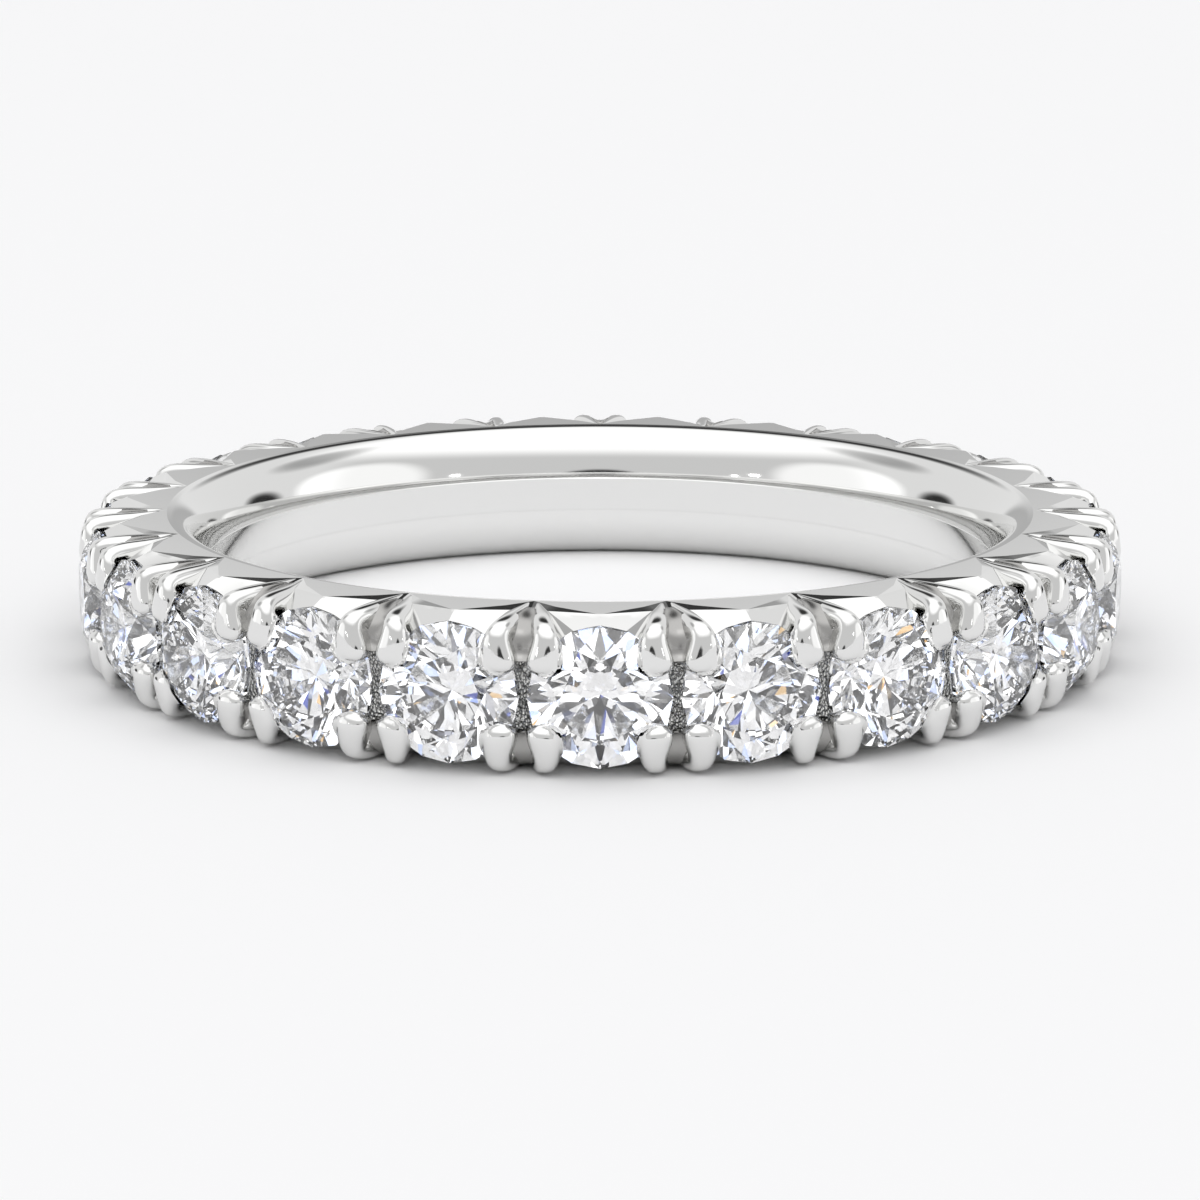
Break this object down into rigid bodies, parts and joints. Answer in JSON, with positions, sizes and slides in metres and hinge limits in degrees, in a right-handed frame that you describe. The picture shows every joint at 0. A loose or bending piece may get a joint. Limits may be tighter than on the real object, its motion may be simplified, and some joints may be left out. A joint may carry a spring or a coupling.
{
  "type": "eternity ring",
  "caption": "Finger ring with a full circle of round brilliant stones held by shared split claws on a scalloped band with a comfort-rounded bore.",
  "frame": {"origin": "centre of the finger hole on the flat side face that the ring lies on", "axes": "+Z along the finger, up from the face the ring lies on; -Y through the middle of a stone"},
  "size_m": [0.0218, 0.0217, 0.003],
  "materials": {
    "polished_white_metal": "mirror polished white precious metal",
    "diamond": "clear colourless faceted stone"
  },
  "bodies": {
    "root": {"band": "polished_white_metal", "diamond_01": "diamond", "diamond_02": "diamond", "diamond_03": "diamond", "diamond_04": "diamond", "diamond_05": "diamond", "diamond_06": "diamond", "diamond_07": "diamond", "diamond_08": "diamond", "diamond_09": "diamond", "diamond_10": "diamond", "diamond_11": "diamond", "diamond_12": "diamond", "diamond_13": "diamond", "diamond_14": "diamond", "diamond_15": "diamond", "diamond_16": "diamond", "diamond_17": "diamond", "diamond_18": "diamond", "diamond_19": "diamond", "diamond_20": "diamond", "diamond_21": "diamond", "diamond_22": "diamond", "diamond_23": "diamond"}
  },
  "joints": []
}
